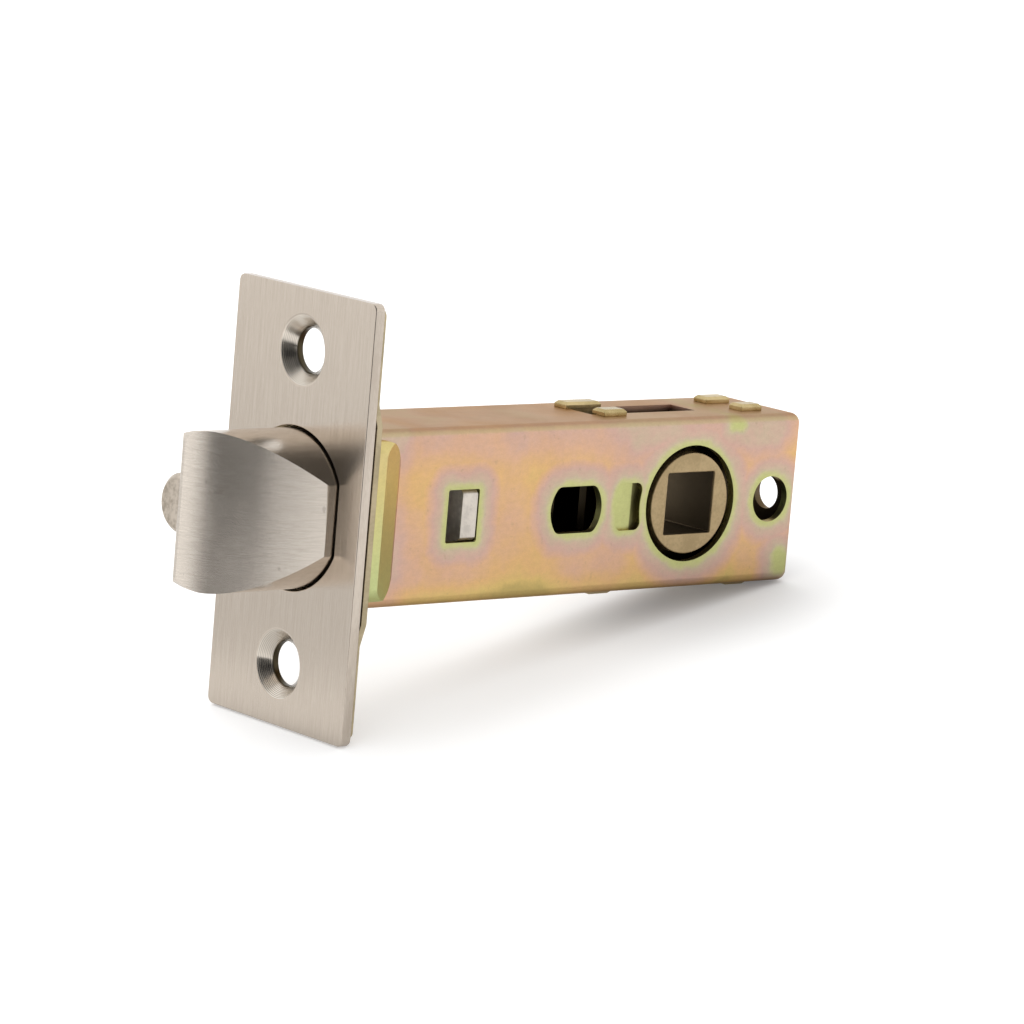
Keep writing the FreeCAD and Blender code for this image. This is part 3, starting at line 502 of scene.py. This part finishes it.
def tinted_sheet(name, shades, roughness, in_shadow):
    """Yellow passivate on a small piece, where one tint drifts a little and part lies in shadow."""
    material, tree, shader, place = new_metal(name)
    drift = noise(tree, place, 260.0, 3.0, 0.55)
    lines = use_group(tree, GRAIN, place=place, stretch=SHEET_STRETCH,
                      fine_scale=SHEET_FINE_SCALE)["Lines"]
    mixed = plus(tree, times(tree, drift, 0.7), times(tree, lines, 0.3))
    colour = mix_colours(tree, ease(tree, mixed, 0.38, 0.62), *shades)
    shaded = mix_colours(tree, in_shadow(tree, place), colour, SHEET_SHADOW)
    feed(tree, shaded, shader["Base Color"])
    uneven = ease(tree, drift, 0.35, 0.65, roughness - 0.04, roughness + 0.05)
    feed(tree, uneven, shader["Roughness"])
    feed(tree, bump(tree, lines, LINE_DEPTH), shader["Normal"])
    return material


def speckled_metal(name, shades, roughness, fineness, depth, in_shadow=None):
    """A cast, sintered or plated metal with a fine mottled skin; part of it can lie in shadow."""
    material, tree, shader, place = new_metal(name)
    cloud = noise(tree, place, fineness, 5.0, 0.62)
    broad = noise(tree, place, fineness * 0.16, 2.0, 0.5)
    mixed = plus(tree, times(tree, cloud, 0.6), times(tree, broad, 0.4))
    colour = mix_colours(tree, ease(tree, mixed, 0.38, 0.62), *shades)
    if in_shadow:
        colour = mix_colours(tree, in_shadow(tree, place), colour, HOLE_SHADOW)
    feed(tree, colour, shader["Base Color"])
    uneven = ease(tree, cloud, 0.3, 0.7, roughness - 0.06, roughness + 0.08)
    feed(tree, uneven, shader["Roughness"])
    feed(tree, bump(tree, cloud, depth), shader["Normal"])
    return material


def below_cover(tree, place):
    """What lies under the case's top and bottom walls."""
    height = without_sign(tree, parts_of(tree, place)[2])
    return ease(tree, height, (HALF_HEIGHT - 0.3) * MM, (HALF_HEIGHT - WALL - 0.2) * MM)


def by_screw_hole(tree, place):
    """The edge of each screw hole, which the faceplate's hole shades."""
    return times(tree, ease(tree, screw_axis_distance(tree, place), 4.2 * MM, 3.2 * MM), 0.9)


def in_square_hole(tree, place):
    """The walls of the hub's square hole, from a little below its mouth."""
    x, y, z = parts_of(tree, vector(tree, "SUBTRACT", place, (HUB_X * MM, NEAR_FACE * MM, 0)))
    across = most(tree, without_sign(tree, x), without_sign(tree, z))
    return times(tree, ease(tree, across, 4.5 * MM, 4.25 * MM),
                 ease(tree, y, 0.15 * MM, 0.6 * MM), 0.85)


plate_finish = make_plate_finish()
bolt_finish = make_bolt_finish()
case_finish = make_case_finish()
forend_finish = tinted_sheet(
    "yellow_zinc_forend", ((0.41, 0.34, 0.215), (0.55, 0.46, 0.30)),
    roughness=0.36, in_shadow=by_screw_hole)
cheek_finish = tinted_sheet(
    "yellow_zinc_cheek", ((0.46, 0.355, 0.165), (0.66, 0.52, 0.27)),
    roughness=0.3, in_shadow=below_cover)
plunger_finish = speckled_metal(
    "nickel_plunger", ((0.40, 0.34, 0.27), (0.66, 0.58, 0.49)),
    roughness=0.34, fineness=1400.0, depth=0.01)
hub_finish = speckled_metal(
    "sintered_hub", ((0.41, 0.305, 0.165), (0.53, 0.40, 0.225)),
    roughness=0.46, fineness=2600.0, depth=0.012, in_shadow=in_square_hole)
zinc_finish = speckled_metal(
    "bright_zinc", ((0.58, 0.53, 0.47), (0.78, 0.72, 0.64)),
    roughness=0.42, fineness=1000.0, depth=0.014)
retractor_finish = speckled_metal(
    "plain_zinc_sheet", ((0.40, 0.39, 0.36), (0.56, 0.55, 0.52)),
    roughness=0.36, fineness=900.0, depth=0.006)
pin_finish = speckled_metal(
    "turned_steel", ((0.38, 0.37, 0.35), (0.55, 0.54, 0.52)),
    roughness=0.3, fineness=2000.0, depth=0.004)
wire_finish = speckled_metal(
    "spring_wire", ((0.20, 0.19, 0.18), (0.42, 0.40, 0.37)),
    roughness=0.32, fineness=3000.0, depth=0.004)

FINISHES = {
    "faceplate": plate_finish, "latch_bolt": bolt_finish, "plunger": plunger_finish,
    "inner_forend": forend_finish, "case_shell": case_finish, "cheek_plate_near": cheek_finish,
    "cheek_plate_far": cheek_finish, "guide_block": zinc_finish, "hub": hub_finish,
    "retractor": retractor_finish, "tail_pin": pin_finish, "front_pillar": pin_finish,
    "rear_pillar": pin_finish, "bolt_spring": wire_finish, "plunger_spring": wire_finish,
}
for node_name, finish in FINISHES.items():
    nodes[node_name].material_slots[0].material = finish


# Eased copies: the same solids with their sharp edges broken, as tumbling and plating leave them

SAME_POINT = 0.0005 * MM
FLAT_ANGLE = math.radians(0.05)
EASED_ANGLE = math.radians(28)
SHARP_ANGLE = math.radians(38)
EASED_STEPS = 2
LARGE_FACE_WEIGHT = 50


def without_spare_lines(source, name):
    """A copy of a solid's mesh with its flat faces whole, ready for a bevel."""
    shape = bmesh.new()
    shape.from_mesh(source.data)
    bmesh.ops.remove_doubles(shape, verts=shape.verts, dist=SAME_POINT)
    bmesh.ops.dissolve_limit(shape, angle_limit=FLAT_ANGLE, verts=shape.verts, edges=shape.edges)
    mesh = bpy.data.meshes.new(name)
    shape.to_mesh(mesh)
    shape.free()
    return mesh


def work_in_modifiers(piece):
    """Turn what a piece's modifiers make into its own mesh."""
    worked = piece.evaluated_get(bpy.context.evaluated_depsgraph_get())
    made = bpy.data.meshes.new_from_object(worked)
    piece.modifiers.clear()
    piece.data = made


def eased_copy(node_name, body, width):
    """Stands for a node with its edges rounded by a small width, in millimetres."""
    mesh = without_spare_lines(nodes[node_name], node_name + "_plain")
    mesh.materials.append(FINISHES[node_name])
    piece = bpy.data.objects.new(node_name + "_eased", mesh)
    bpy.context.scene.collection.objects.link(piece)
    easing = piece.modifiers.new("broken_edges", "BEVEL")
    easing.width = width * MM
    easing.segments = EASED_STEPS
    easing.limit_method = "ANGLE"
    easing.angle_limit = EASED_ANGLE
    easing.miter_outer = "MITER_ARC"
    work_in_modifiers(piece)
    piece.data.polygons.foreach_set("use_smooth", [True] * len(piece.data.polygons))
    piece.data.set_sharp_from_angle(angle=SHARP_ANGLE)
    levelling = piece.modifiers.new("large_faces_first", "WEIGHTED_NORMAL")
    levelling.keep_sharp = True
    levelling.weight = LARGE_FACE_WEIGHT
    work_in_modifiers(piece)
    piece.data.name = node_name + "_eased"
    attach(piece, body)
    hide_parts(node_name)


EASED = [
    ("faceplate", "case", "satin_nickel_plate", 0.22),
    ("inner_forend", "case", "yellow_zinc_sheet", 0.12),
    ("case_shell", "case", "yellow_zinc_sheet", 0.14),
    ("cheek_plate_near", "case", "yellow_zinc_sheet", 0.12),
    ("cheek_plate_far", "case", "yellow_zinc_sheet", 0.12),
    ("latch_bolt", "bolt", "satin_nickel_brass", 0.25),
    ("plunger", "plunger", "satin_nickel_brass", 0.2),
    ("hub", "hub", "sintered_bronze_tone", 0.18),
    ("guide_block", "case", "bright_zinc_casting", 0.15),
]
for node_name, body, slot, width in EASED:
    eased_copy(node_name, body, width)


# Springs: round wire with closed ends, in the places of their plain solids

STEPS_PER_TURN = 36
WIRE_SIDES = 8
CLOSED_TURNS = 1.25


def spring_line(middle, start, end, radius, wire, turns):
    """Points along a spring's wire; its end turns lie close together. Sizes are in millimetres."""
    total = int((turns + 2 * CLOSED_TURNS) * STEPS_PER_TURN)
    open_pitch = (end - start - 2 * CLOSED_TURNS * 2 * wire) / turns
    points = []
    for step in range(total + 1):
        wound = step / STEPS_PER_TURN
        from_start = min(wound, CLOSED_TURNS)
        in_middle = min(max(wound - CLOSED_TURNS, 0.0), turns)
        from_end = max(wound - CLOSED_TURNS - turns, 0.0)
        along = start + (from_start + from_end) * 2 * wire + in_middle * open_pitch
        angle = 2 * math.pi * wound
        place = Vector((along, middle + radius * math.cos(angle), radius * math.sin(angle)))
        points.append(place * MM)
    return points


def wind_spring(node, body, middle, start, end, radius, wire, turns):
    """Stands for a spring's node with round wire of the given radius, wound along the case."""
    points = spring_line(middle, start, end, radius, wire, turns)
    shape = bmesh.new()
    rings = []
    for i, point in enumerate(points):
        ahead = (points[min(i + 1, len(points) - 1)] - points[max(i - 1, 0)]).normalized()
        out = Vector((0, point.y - middle * MM, point.z)).normalized()
        side = ahead.cross(out).normalized()
        out = side.cross(ahead).normalized()
        rings.append([shape.verts.new(point + (out * math.cos(a) + side * math.sin(a)) * wire * MM)
                      for a in (2 * math.pi * k / WIRE_SIDES for k in range(WIRE_SIDES))])
    for first, second in zip(rings, rings[1:]):
        for k in range(WIRE_SIDES):
            after = (k + 1) % WIRE_SIDES
            shape.faces.new((first[k], first[after], second[after], second[k]))
    shape.faces.new(rings[0])
    shape.faces.new(list(reversed(rings[-1])))
    bmesh.ops.recalc_face_normals(shape, faces=shape.faces)
    mesh = bpy.data.meshes.new(node + "_wire")
    shape.to_mesh(mesh)
    shape.free()
    for face in mesh.polygons:
        face.use_smooth = len(face.vertices) == 4
    mesh.materials.append(wire_finish)
    piece = bpy.data.objects.new(node + "_wire", mesh)
    bpy.context.scene.collection.objects.link(piece)
    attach(piece, body)
    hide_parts(node)
    return piece


bolt_wire = wind_spring("bolt_spring", "case", middle=CASE_MIDDLE,
                        start=5.95, end=27.45, radius=3.3, wire=0.45, turns=7.0)
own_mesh(bolt_wire)
plunger_wire = wind_spring("plunger_spring", "case", middle=PLUNGER_MIDDLE,
                           start=-6.4, end=19.6, radius=1.6, wire=0.28, turns=12.0)
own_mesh(plunger_wire)


# Floor: the latch lies on the bottom edge of its faceplate and on its two rear lugs, so the
# floor leans in the latch's frame

lean = math.atan2(LUG_BOTTOM - PLATE_BOTTOM, REAR_LUG_END - PLATE_BACK)
floor_along = Vector((math.cos(lean), 0.0, math.sin(lean)))
floor_centre = Vector((PLATE_BACK, 0.0, PLATE_BOTTOM)) * MM
FLOOR_HALF_SIZE = 3.0
PAPER_WHITE = 0.8
PAPER_GLOW = 0.32

# Patches of floor that the metal mirrors: their heading from the faceplate, the cosines to that
# heading where they begin and are full, the reach in metres where they begin and are full, and
# their strength
DARK_PATCH = ((-0.656, -0.755, 0.0), 0.60, 0.98, 0.24, 0.60, 0.98)
LOW_DARK_PATCH = ((-0.87, -0.49, 0.0), 0.86, 0.97, 0.20, 0.50, 0.98)
BRIGHT_PATCH = ((-0.98, 0.20, 0.0), 0.90, 0.99, 0.08, 0.16, 0.35)
FAR_DULL_PATCH = ((-0.656, 0.755, 0.0), 0.60, 0.92, 0.05, 0.15, 0.22)
NEAR_DULL_PATCH = ((-0.10, -0.99, 0.0), 0.60, 0.92, 0.09, 0.20, 0.16)

# The floor under the case, and the point where the rear lugs touch it, in metres
CASE_SPOT = (40 * MM, 0, -20 * MM)
CASE_SPOT_HALF_SIZE = (40 * MM, 14 * MM, 1.0)
LUG_SPOT = (72 * MM, -6 * MM, -13 * MM)


def shows_backdrop(tree):
    """One for the camera's rays and for rays that metal or glass sends on."""
    path = tree.nodes.new("ShaderNodeLightPath").outputs
    return most(tree, path["Is Camera Ray"], path["Is Glossy Ray"], path["Is Transmission Ray"])


def floor_brightness(tree, place):
    """How bright the floor looks in the metal, with its lighter and darker patches."""
    offset = vector(tree, "SUBTRACT", place, tuple(floor_centre))
    reach = vector(tree, "LENGTH", offset)
    heading = vector(tree, "NORMALIZE", offset)

    def patch(towards, begins, full, near, far, strength):
        return times(tree, ease(tree, vector(tree, "DOT_PRODUCT", heading, towards), begins, full),
                     ease(tree, reach, near, far, 0.0, strength))

    from_case = vector(tree, "ABSOLUTE", vector(tree, "SUBTRACT", place, CASE_SPOT))
    past_spot = vector(tree, "SUBTRACT", from_case, CASE_SPOT_HALF_SIZE)
    beside = vector(tree, "LENGTH", vector(tree, "MAXIMUM", past_spot, (0, 0, 0)))
    # Painted shade: round the case the floor that the metal mirrors is dimmer, standing in for the
    # shade under it
    level = plus(tree, ease(tree, beside, 0.0, 0.06, 0.7, 0.8),
                 ease(tree, reach, 1.0, 1.5, 0.0, 0.18), patch(*BRIGHT_PATCH))
    level = minus(tree, level, patch(*FAR_DULL_PATCH), patch(*NEAR_DULL_PATCH))
    unlit = most(tree, patch(*DARK_PATCH), patch(*LOW_DARK_PATCH))
    return times(tree, level, minus(tree, 1.0, times(tree, unlit, 0.93)))


def floor_finish():
    """White paper with a faint glow, and a painted contact shadow where the rear lugs touch it."""
    material = bpy.data.materials.new("white_floor")
    material.use_nodes = True
    tree = material.node_tree
    tree.nodes.clear()
    place = tree.nodes.new("ShaderNodeTexCoord").outputs["Object"]
    from_lugs = vector(tree, "LENGTH", vector(tree, "SUBTRACT", place, LUG_SPOT))
    # Painted contact shadow: near the rear lugs the floor is darker, both as the metal mirrors it
    # and in its glow
    mirrored = times(tree, floor_brightness(tree, place),
                     ease(tree, from_lugs, 0.004, 0.035, 0.75, 1.0))
    by_metal = tree.nodes.new("ShaderNodeLightPath").outputs["Is Glossy Ray"]
    level = mix_numbers(tree, by_metal, 1.0, mirrored)
    glow_with_lug_shadow = times(tree, level, ease(tree, from_lugs, 0.006, 0.035, 0.4, 1.0))
    diffuse = add(tree, "ShaderNodeBsdfDiffuse", [grey_of(tree, times(tree, level, PAPER_WHITE))])
    glow = tree.nodes.new("ShaderNodeEmission")
    feed(tree, times(tree, shows_backdrop(tree), PAPER_GLOW, glow_with_lug_shadow), glow.inputs["Strength"])
    both = add(tree, "ShaderNodeAddShader", [diffuse.outputs[0], glow.outputs[0]])
    add(tree, "ShaderNodeOutputMaterial", [both.outputs[0]])
    return material


def make_floor():
    shape = bmesh.new()
    for across, along in ((-1, -1), (1, -1), (1, 1), (-1, 1)):
        shape.verts.new(floor_centre + Vector((0, across * FLOOR_HALF_SIZE, 0))
                        + floor_along * along * FLOOR_HALF_SIZE)
    shape.faces.new(shape.verts)
    shape.normal_update()
    mesh = bpy.data.meshes.new("floor")
    shape.to_mesh(mesh)
    shape.free()
    mesh.materials.append(floor_finish())
    floor = bpy.data.objects.new("floor", mesh)
    bpy.context.scene.collection.objects.link(floor)


# Studio: a white tent that metal sees as dim on the side that the photograph was taken from

DIM_ABOVE = (-0.56, -0.50, 0.66)
DIM_LEVEL = (-0.86, -0.50, 0.04)
LEAST_TENT = 0.1
WHITE = (1, 1, 1, 1)


def make_tent():
    world = bpy.data.worlds.new("white_tent")
    bpy.context.scene.world = world
    world.use_nodes = True
    tree = world.node_tree
    tree.nodes.clear()
    sky = tree.nodes.new("ShaderNodeTexCoord").outputs["Generated"]
    above = ease(tree, vector(tree, "DOT_PRODUCT", sky, DIM_ABOVE), 0.5, 0.92, 1.0, LEAST_TENT)
    level = ease(tree, vector(tree, "DOT_PRODUCT", sky, DIM_LEVEL), 0.84, 0.96, 1.0, LEAST_TENT)
    by_camera = tree.nodes.new("ShaderNodeLightPath").outputs["Is Camera Ray"]
    tent = add(tree, "ShaderNodeBackground", [WHITE, 1.0])
    strength = most(tree, times(tree, above, level), by_camera)
    backdrop = add(tree, "ShaderNodeBackground", [WHITE, strength])
    both = add(tree, "ShaderNodeMixShader",
               [shows_backdrop(tree), tent.outputs[0], backdrop.outputs[0]])
    add(tree, "ShaderNodeOutputWorld", [both.outputs[0]])


# The lamp hangs behind the latch and lights it from above; metal doesn't mirror it
LAMP_PLACE = Vector((0.15, 0.65, 0.85))
LAMP_TARGET = Vector((35, 0, 0)) * MM
LAMP_SIZE = 1.0
LAMP_WATTS = 5.0


def hang_back_lamp():
    data = bpy.data.lights.new("back_lamp", "AREA")
    data.shape = "RECTANGLE"
    data.size = data.size_y = LAMP_SIZE
    data.energy = LAMP_WATTS
    lamp = bpy.data.objects.new("back_lamp", data)
    lamp.location = LAMP_PLACE
    lamp.rotation_mode = "QUATERNION"
    lamp.rotation_quaternion = (LAMP_TARGET - LAMP_PLACE).to_track_quat("-Z", "Y")
    lamp.visible_glossy = False
    bpy.context.scene.collection.objects.link(lamp)


make_floor()
make_tent()
hang_back_lamp()
